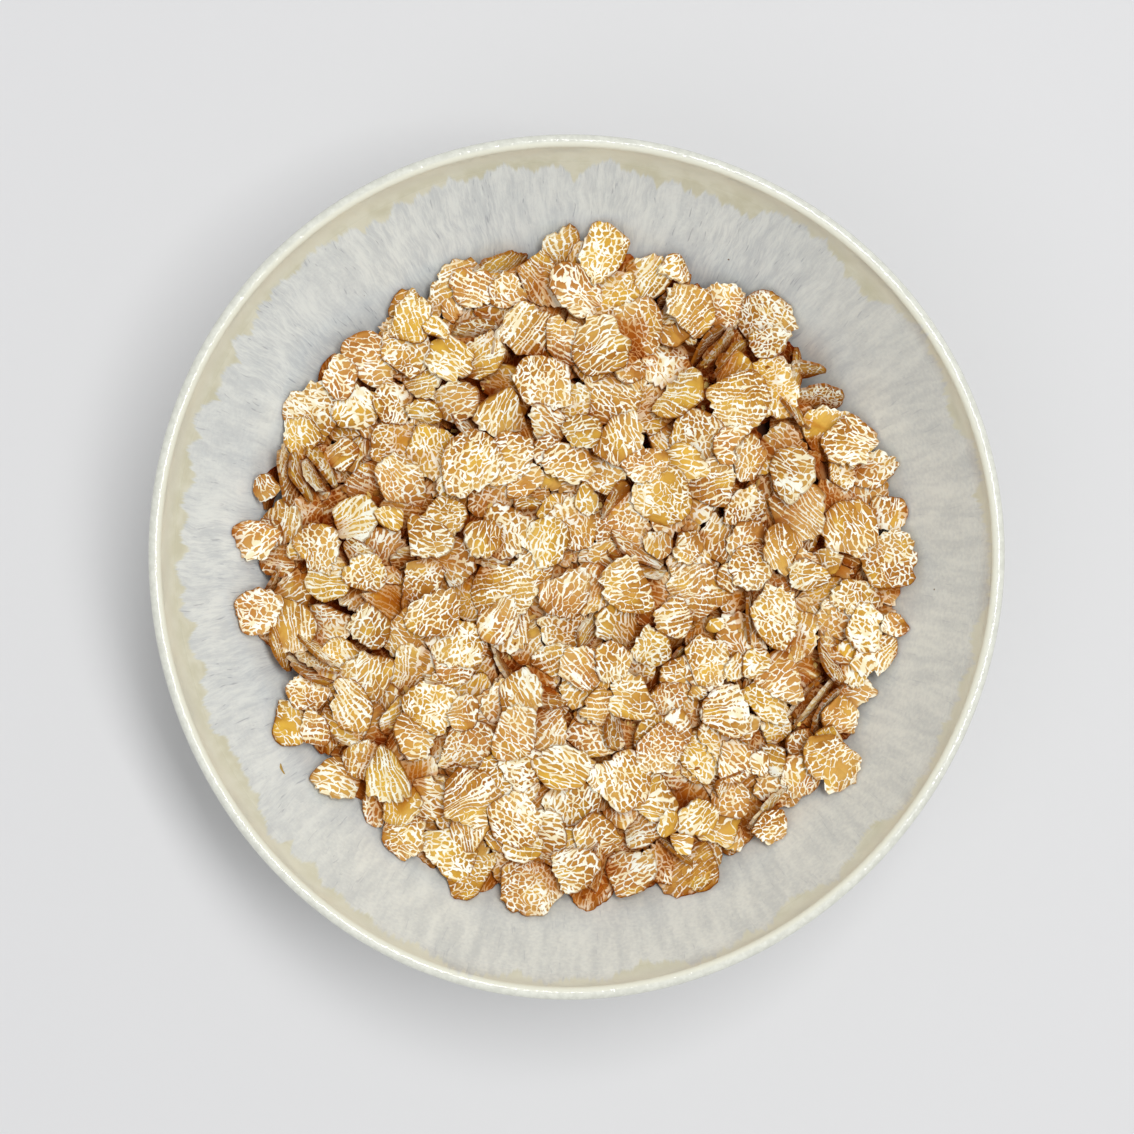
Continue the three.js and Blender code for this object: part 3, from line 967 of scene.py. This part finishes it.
def crack_width(web, flat, width, crosswise):
    """How far a crack reaches from its middle, in mm."""
    swelling = web.ramp(web.noise(flat, 0.5, 2.0)["Fac"], 0.3, 0.72, *SWELLING)
    fraying = web.ramp(web.noise(flat, 2.8, 2.0, 0.6)["Fac"], 0.25, 0.75, *FRAYING)
    reach = web.plus(web.times(width, swelling), fraying)
    reach = web.times(reach, web.ramp(crosswise, 0.3, 1.0, 1.0, CROSSWISE_WIDTH))
    floury = web.ramp(web.noise(flat, 0.4, 1.0)["Fac"], 0.62, 0.74, 0.0, FLOURY)
    return web.plus(reach, web.times(floury, width))


def crackle_group():
    tree = bpy.data.node_groups.new("bran_crackle", "ShaderNodeTree")
    tree.interface.new_socket("Vector", in_out="INPUT", socket_type="NodeSocketVector")
    for name in ("Stretch", "Ladder", "Width", "Skin"):
        tree.interface.new_socket(name, in_out="INPUT", socket_type="NodeSocketFloat")
    for name in ("Crack", "Plate", "Rim"):
        tree.interface.new_socket(name, in_out="OUTPUT", socket_type="NodeSocketFloat")
    web = Web(tree)
    given = tree.nodes.new("NodeGroupInput").outputs
    flat = given["Vector"]
    moved = web.vector("ADD", flat, web.drift(flat, 0.55, WANDER))
    moved = web.vector("ADD", moved, web.drift(flat, 1.7, TREMBLE))
    border, plate, crosswise = plates(web, moved, given["Stretch"])
    rungs, rung_plate = ladder(web, moved, given["Stretch"])
    border = web.mean(given["Ladder"], border, rungs)
    plate = web.mean(given["Ladder"], plate, rung_plate)
    width = crack_width(web, flat, given["Width"], crosswise)
    skin = web.ramp(web.plus(web.noise(flat, 0.28, 1.0)["Fac"], given["Skin"]), 0.62, 0.78)
    width = web.math("SUBTRACT", width, web.times(skin, CLOSED))
    crack = web.ramp(border, web.plus(width, SOFTNESS), web.math("SUBTRACT", width, SOFTNESS))
    rim = web.ramp(border, web.plus(width, RIM_WIDTH), width)
    web.fill(tree.nodes.new("NodeGroupOutput"), {"Crack": crack, "Plate": plate, "Rim": rim})
    return tree


bran_crackle = crackle_group()
print("group has", len(bran_crackle.nodes), "nodes")

# %% [markdown]
# ## The flakes' finish
# Bran is toasted tan, golden or rosy, a little different from plate to plate and from flake to flake,
# and darker where a plate ends. The flour in the cracks is cream white, and so is the torn end, while
# the skin around the other edge is browner, and painted shade makes it browner still. A few flakes are
# mostly flour. The sides are brown, partly as painted shade. One finish with three settings serves all
# kinds of flake, where a finish for each would repeat the same nodes, and the lower layer's settings
# make a copy darkened with painted shade. Dry grain hardly shines. Low in the gaps two brown tints are
# painted shade, for the dim light that has passed through other flakes.

# %% Flake material
BRAN_LIGHT = colour(216, 165, 78)
BRAN_DEEP = colour(150, 83, 10)
GOLD = colour(234, 192, 76)
ROSY = colour(204, 142, 82)
PALE_BRAN = colour(232, 196, 116)
FLOUR = colour(252, 253, 238)
DULL_FLOUR = colour(244, 232, 194)
# brown of the skin, also used as painted shade towards the edges
SKIN_AND_SHADE_BROWN = colour(146, 88, 30)
EDGE_BROWN = colour(140, 78, 16)
# painted shade: two brown tints for points that lie low in the gaps
PAINTED_SHADE_BROWN = colour(203, 135, 30)
PAINTED_DEEP_SHADE = colour(190, 114, 24)
DRY = 0.8  # roughness of grain


def flake_crackle(web, flat, end, width, skin):
    """Cracks that are wider on some flakes and towards the torn end."""
    crazing = web.attribute("crazing")
    width = web.ramp(crazing, 0.0, 1.0, 0.78 * width, 1.15 * width)
    width = web.times(width, web.ramp(crazing, 0.92, 0.96, 1.0, 1.55))
    inputs = {"Vector": flat, "Skin": skin}
    inputs["Width"] = web.times(width, web.ramp(end, -1.0, 0.6, 0.75, 1.1))
    inputs["Stretch"] = web.attribute("stretch")
    inputs["Ladder"] = web.attribute("ladder")
    return web.add("Group", inputs, node_tree=bran_crackle).outputs


def bran_colour(web, flat, end, mottle, crackle):
    tone, hue, edge = map(web.attribute, ("tone", "hue", "edge"))
    depth = web.plus(web.times(crackle["Plate"], 0.4), web.times(tone, 0.45))
    depth = web.plus(depth, web.times(mottle, 0.4))
    depth = web.math("SUBTRACT", depth, web.times(crackle["Rim"], 0.2))
    bran = web.mix(depth, BRAN_DEEP, BRAN_LIGHT)
    bran = web.mix(web.ramp(hue, 0.5, 1.0, 0.0, 0.5), bran, ROSY)
    bran = web.mix(web.ramp(hue, 0.4, 0.0, 0.0, 0.5), bran, GOLD)
    bran = web.mix(web.ramp(end, -0.3, 0.8, 0.0, 0.4), bran, PALE_BRAN)
    bran = web.mix(web.ramp(web.noise(flat, 0.34, 1.0)["Fac"], 0.52, 0.72, 0.0, 0.5), bran, GOLD)
    # skin and painted shade: browner towards the untorn end and round the edge, partly the skin's own brown
    # and partly painted shade
    browner = web.math("MAXIMUM", web.ramp(end, 0.1, -0.9), web.ramp(edge, 0.5, 1.0, 0.0, 0.8))
    skin_and_shade = web.times(browner, web.ramp(web.noise(flat, 0.3, 2.0)["Fac"], 0.6, 0.4))
    return web.mix(web.times(skin_and_shade, 0.7), bran, SKIN_AND_SHADE_BROWN)


def flake_finish(name, width, skin, dull):
    material, web, shader = new_material(name)
    flat = web.add("UVMap", uv_map="flat_pattern").outputs["UV"]
    edge, end, low = map(web.attribute, ("edge", "end", "low"))
    mottle = web.noise(flat, 1.3, 2.0)["Fac"]
    crackle = flake_crackle(web, flat, end, width, skin)
    torn = web.ramp(end, 0.1, 0.8)
    skin_edge = web.times(web.ramp(edge, 0.86, 1.0), web.math("SUBTRACT", 1.0, torn))
    skin_edge = web.times(skin_edge, web.ramp(mottle, 0.35, 0.6))
    bran = bran_colour(web, flat, end, mottle, crackle)
    bran = web.mix(web.times(skin_edge, 0.6), bran, EDGE_BROWN)
    tear = web.times(web.ramp(edge, 0.78, 0.95), web.times(torn, web.ramp(mottle, 0.5, 0.62)))
    crack = web.times(crackle["Crack"], web.math("SUBTRACT", 1.0, web.times(skin_edge, 0.8)))
    flour = web.mix(web.ramp(web.noise(flat, 0.8, 1.0)["Fac"], 0.38, 0.58), dull, FLOUR)
    shown = web.mix(web.math("MAXIMUM", crack, tear), bran, flour)
    # the sides: bran brown, partly painted shade for the dark lines between flakes
    side = web.mix(web.times(torn, mottle), EDGE_BROWN, dull)
    shown = web.mix(web.ramp(edge, 0.98, 1.0, 0.0, 0.7), shown, side)
    # painted shade: two brown tints darken the points that lie low below their neighbours
    shown = web.mix(web.ramp(low, 0.9, 3.6, 0.0, 0.85), shown, PAINTED_SHADE_BROWN, "MULTIPLY")
    shown = web.mix(web.ramp(low, 3.0, 5.4, 0.0, 0.8), shown, PAINTED_DEEP_SHADE, "MULTIPLY")
    web.fill(shader, {"Base Color": shown, "Roughness": DRY, "Specular IOR Level": 0.0})
    web.fill(shader, {"Normal": web.bump(web.noise(flat, 2.0, 1.0)["Fac"], 0.5, 0.15)})
    return material


FLAKE_FINISHES = {  # half width of the cracks in mm, share of whole skin, and the duller flour
    "crazed_flakes": (0.148, -0.06, DULL_FLOUR),
    "smooth_flakes": (0.114, 0.05, DULL_FLOUR),
    "broken_flakes": (0.144, 0.0, DULL_FLOUR),
    # painted shade: the lower layer's cracks are narrower and take bran colour in place of flour
    "under_flakes": (0.09, 0.02, BRAN_LIGHT),
}

for kind, settings in FLAKE_FINISHES.items():
    flake_pieces[kind].data.materials.append(flake_finish(kind, *settings))
print("flake finishes:", ", ".join(FLAKE_FINISHES))

# %% [markdown]
# ## Core and crumbs
# The core is only glimpsed between flakes, and its mottle of two dark browns is painted shade.
# Crumbs are too small to show cracks: their tone alone runs from bran to pale bran, and a tone past 1
# marks the straw of the husk.

# %% Core and crumb materials
# painted shade: two dark browns for the shade deep between the flakes
CORE_SHADE_BROWNS = colour(44, 16, 2), colour(98, 48, 12)
STRAW = colour(176, 144, 74)

core_material, web, shader = new_material("shaded_core")
mottle = web.noise(web.add("TexCoord").outputs["Object"], 400.0, 3.0)["Fac"]
web.fill(shader, {"Base Color": web.mix(mottle, *CORE_SHADE_BROWNS), "Roughness": 0.9})
core.data.materials.append(core_material)
crumb_material, web, shader = new_material("crumbs")
tone = web.attribute("tone")
grain = web.mix(web.ramp(tone, 1.2, 1.8), web.mix(tone, BRAN_DEEP, PALE_BRAN), STRAW)
web.fill(shader, {"Base Color": grain, "Roughness": DRY, "Specular IOR Level": 0.1})
crumbs.data.materials.append(crumb_material)
print("finishes of core and crumbs:", core_material.name, "and", crumb_material.name)

# %% [markdown]
# ## The glaze
# The lip is cream, and just inside it runs a narrow beige band where the glaze is thin. Further in, a
# thicker pale glaze has run towards the middle. Its upper edge is scalloped, because each run starts as
# a rounded drop, and it is full of fine radial wisps. On one side the runs are ragged and streaked, on
# the other smooth and a little warmer. A texture could be painted on an unwrapped bowl, but it would
# have a seam. Polar coordinates have none: the direction from the bowl's axis draws runs and wisps, and
# the distance in from the rim says which zone a point is in. Outside, the cream is cloudy and the foot
# is bare clay. A few iron specks lie in both sides.

# %% Parts of the glaze
CREAM = colour(224, 225, 214)
DULL_CREAM = colour(212, 213, 202)
# painted light for the shaded band just under the lip
PAINTED_LIGHT_CREAM = colour(230, 229, 212)
BEIGE = colour(224, 223, 204)
DULL_BEIGE = colour(210, 208, 184)
PALE = colour(233, 237, 234)
GREY = colour(207, 212, 213)
WARM = colour(254, 251, 246)
INK = colour(158, 162, 170)
CLAY = colour(200, 184, 158)
SPECK = colour(112, 82, 56)
RUN_WIDTH = 3.2  # mm between the runs of glaze, on average
RUN_DEPTH = 2.4
SWAY = (0.03, 0.03, 0.0)
FOOT_LINE = (-33.8, -33.0)  # mm from the rim, outside, where the glaze ends


def wisps(web, polar, fineness, length, detail, roughness=0.6):
    """Noise drawn out along the radius: fineness counts wisps over one radian, length is in mm."""
    around_axis = web.vector("SCALE", polar[0], fineness)
    inward = web.vector("SCALE", polar[1], 1 / length)
    return web.noise(web.vector("ADD", around_axis, inward), 1.0, detail, roughness)["Fac"]


def glaze_edge(web, direction, ragged):
    """How far in from the rim the pale glaze starts, in mm, in this direction."""
    lobes = web.ramp(web.noise(direction, 4.5, 2.0)["Fac"], 0.3, 0.7, 2.0, 4.0)
    swell = web.ramp(ragged, 0.0, 1.0, -0.5, 0.5)
    inputs = {"Vector": direction, "Scale": RIM_RADIUS / RUN_WIDTH}
    runs = web.add("TexVoronoi", inputs, voronoi_dimensions="2D").outputs["Distance"]
    depth = web.ramp(ragged, 0.0, 1.0, 0.3 * RUN_DEPTH, RUN_DEPTH)
    scallop = web.times(web.math("POWER", runs, 2.0), depth)
    fringe = web.ramp(web.noise(direction, 70.0, 2.0, 0.6)["Fac"], 0.25, 0.75, -0.35, 0.35)
    return web.plus(web.plus(lobes, swell), web.plus(scallop, fringe))


def pale_glaze(web, place, from_rim, direction, ragged):
    """The colour of the glaze that has run, and its broad wisps."""
    swayed = web.vector("ADD", direction, web.drift(place, 160.0, SWAY))
    polar = swayed, web.add("CombineXYZ", {"Z": from_rim}).outputs[0]
    fine = wisps(web, polar, 130.0, 1.9, 4.0, 0.7)
    broad = wisps(web, polar, 26.0, 5.0, 2.0)
    wispy = web.times(ragged, web.ramp(web.noise(direction, 2.6, 1.0)["Fac"], 0.35, 0.6, 0.3, 1.0))
    mottle = web.math("MULTIPLY_ADD", web.noise(place, 1800.0, 2.0)["Fac"], 0.4, 0.3)
    grey = web.plus(web.times(web.mean(wispy, mottle, fine), 0.6), web.times(broad, 0.4))
    pale = web.mix(web.ramp(grey, 0.36, 0.63), GREY, PALE)
    pale = web.mix(web.math("SUBTRACT", 1.0, ragged), pale, WARM, "MULTIPLY")
    dashes = web.ramp(wisps(web, polar, 150.0, 2.4, 1.0), 0.65, 0.74)
    dashes = web.times(dashes, web.ramp(broad, 0.56, 0.46))
    dashes = web.times(dashes, web.ramp(ragged, 0.0, 1.0, 0.4, 1.0))
    return web.mix(web.times(dashes, 0.55), pale, INK), broad


def rim_glaze(web, place, from_rim, grain):
    """The cream lip and the beige band inside it."""
    lip = web.mix(web.ramp(grain, 0.35, 0.65), DULL_CREAM, CREAM)
    wash = web.mix(web.ramp(web.noise(place, 240.0, 3.0, 0.6)["Fac"], 0.35, 0.65), DULL_BEIGE, BEIGE)
    # painted light: a lighter cream runs from the lip into the band, where the wall under the lip is in
    # shade
    rim = web.mix(web.ramp(from_rim, 0.9, 1.5), lip, PAINTED_LIGHT_CREAM)
    return web.mix(web.ramp(from_rim, 1.8, 3.6), rim, wash)


def outer_glaze(web, place, from_rim):
    cloudy = web.mix(web.ramp(web.noise(place, 90.0, 4.0, 0.65)["Fac"], 0.38, 0.62), DULL_CREAM, CREAM)
    return web.mix(web.ramp(from_rim, *FOOT_LINE), CLAY, cloudy)


def iron_specks(web, place, from_rim):
    dots = web.add("TexVoronoi", {"Vector": place, "Scale": 260.0}).outputs["Distance"]
    patches = web.ramp(web.noise(place, 70.0, 1.0)["Fac"], 0.54, 0.6)
    off_rim = web.ramp(web.math("ABSOLUTE", from_rim), 5.0, 6.0)
    return web.times(web.ramp(dots, 0.05, 0.03), web.times(patches, off_rim))


print("runs of glaze about", RUN_WIDTH, "mm apart")

# %% Glaze material
RAGGED_SIDE = (-0.7, 0.7, 0.0)  # the runs and wisps are strongest on this side


def glaze_finish():
    material, web, shader = new_material("reactive_glaze")
    place = web.add("TexCoord").outputs["Object"]
    from_rim = web.attribute("from_rim")
    direction = web.vector("NORMALIZE", web.vector("MULTIPLY", place, (1.0, 1.0, 0.0)))
    ragged = web.ramp(web.vector("DOT_PRODUCT", direction, RAGGED_SIDE), -0.5, 0.4)
    grain = web.noise(place, 1100.0, 2.0, 0.6)["Fac"]
    pale, broad = pale_glaze(web, place, from_rim, direction, ragged)
    inward = web.math("SUBTRACT", from_rim, glaze_edge(web, direction, ragged))
    inner = web.mix(web.ramp(inward, -0.25, 0.35), rim_glaze(web, place, from_rim, grain), pale)
    skin = web.mix(web.ramp(from_rim, -0.05, 0.05), outer_glaze(web, place, from_rim), inner)
    skin = web.mix(iron_specks(web, place, from_rim), skin, SPECK)
    relief = web.plus(broad, web.times(grain, web.ramp(from_rim, 2.6, 1.4, 0.1, 2.4)))
    web.fill(shader, {"Base Color": skin, "Normal": web.bump(relief, 0.3, 0.12)})
    web.fill(shader, {"Roughness": web.ramp(from_rim, 1.5, 4.0, 0.1, 0.3)})
    return material


bowl_mesh.materials.append(glaze_finish())
print("glaze on", bowl.name)

# %% [markdown]
# ## Stage, light and camera
# The photograph looks straight down on a pale table. A long soft box stands to the right and a little
# towards the top of the picture, so a faint shadow falls to the left and below. A weak one opposite and
# a pale sky lighten that shadow. A single bright lamp would cast hard edges that the photograph hasn't
# got. The camera stands far enough away for the rim to fill the same share of the frame.

# %% Floor, lights and camera
FLOOR_SIDE = 4.0
PHOTO_SIDE = 1134
RIM_PIXELS = 430.4  # radius of the rim in the photograph
RIM_AT = (576.6, 567.1)  # middle of its outline
LENS = 85.0
SENSOR = 36.0
FLOOR_GREY = colour(217, 217, 218)
KEY_LIGHT = ((0.25, 0.13, 1.15), (0.75, 0.2), 8.7)  # place and sides in metres, and watts
FILL_LIGHT = ((-0.3, -0.3, 1.0), (0.6, 0.6), 1.05)
SKY = {"Color": (0.985, 0.99, 1.0, 1.0), "Strength": 0.46}


def make_floor():
    bm = bmesh.new()
    bmesh.ops.create_grid(bm, x_segments=1, y_segments=1, size=FLOOR_SIDE / 2)
    mesh = bpy.data.meshes.new("pale_floor")
    bm.to_mesh(mesh)
    bm.free()
    floor = put_in_scene("pale_floor", mesh)
    material, web, shader = new_material("pale_floor")
    web.fill(shader, {"Base Color": FLOOR_GREY, "Roughness": 0.9})
    mesh.materials.append(material)


def soft_box(name, place, sides, watts):
    lamp = bpy.data.lights.new(name, "AREA")
    lamp.shape = "RECTANGLE"
    lamp.size, lamp.size_y = sides
    lamp.energy = watts
    holder = put_in_scene(name, lamp)
    holder.location = place
    holder.rotation_euler = (-holder.location).to_track_quat("-Z", "Y").to_euler()


def photo_camera():
    camera = put_in_scene("photo_camera", bpy.data.cameras.new("photo_camera"))
    camera.data.lens = LENS
    camera.data.sensor_width = SENSOR
    pixel = RIM_RADIUS / RIM_PIXELS
    distance = pixel * PHOTO_SIDE * LENS / SENSOR
    across = (PHOTO_SIDE / 2 - RIM_AT[0]) * pixel
    upward = (RIM_AT[1] - PHOTO_SIDE / 2) * pixel
    camera.location = (across * MM, upward * MM, (LIP_HEIGHT + distance) * MM)
    bpy.context.scene.camera = camera
    return camera


make_floor()
soft_box("key_light", *KEY_LIGHT)
soft_box("fill_light", *FILL_LIGHT)
world = bpy.data.worlds.new("studio")
world.use_nodes = True
Web(world.node_tree).fill(world.node_tree.nodes["Background"], SKY)
bpy.context.scene.world = world
bpy.context.scene.view_settings.view_transform = "Standard"
print("camera at", [round(value / MM) for value in photo_camera().location], "mm")

# %% [markdown]
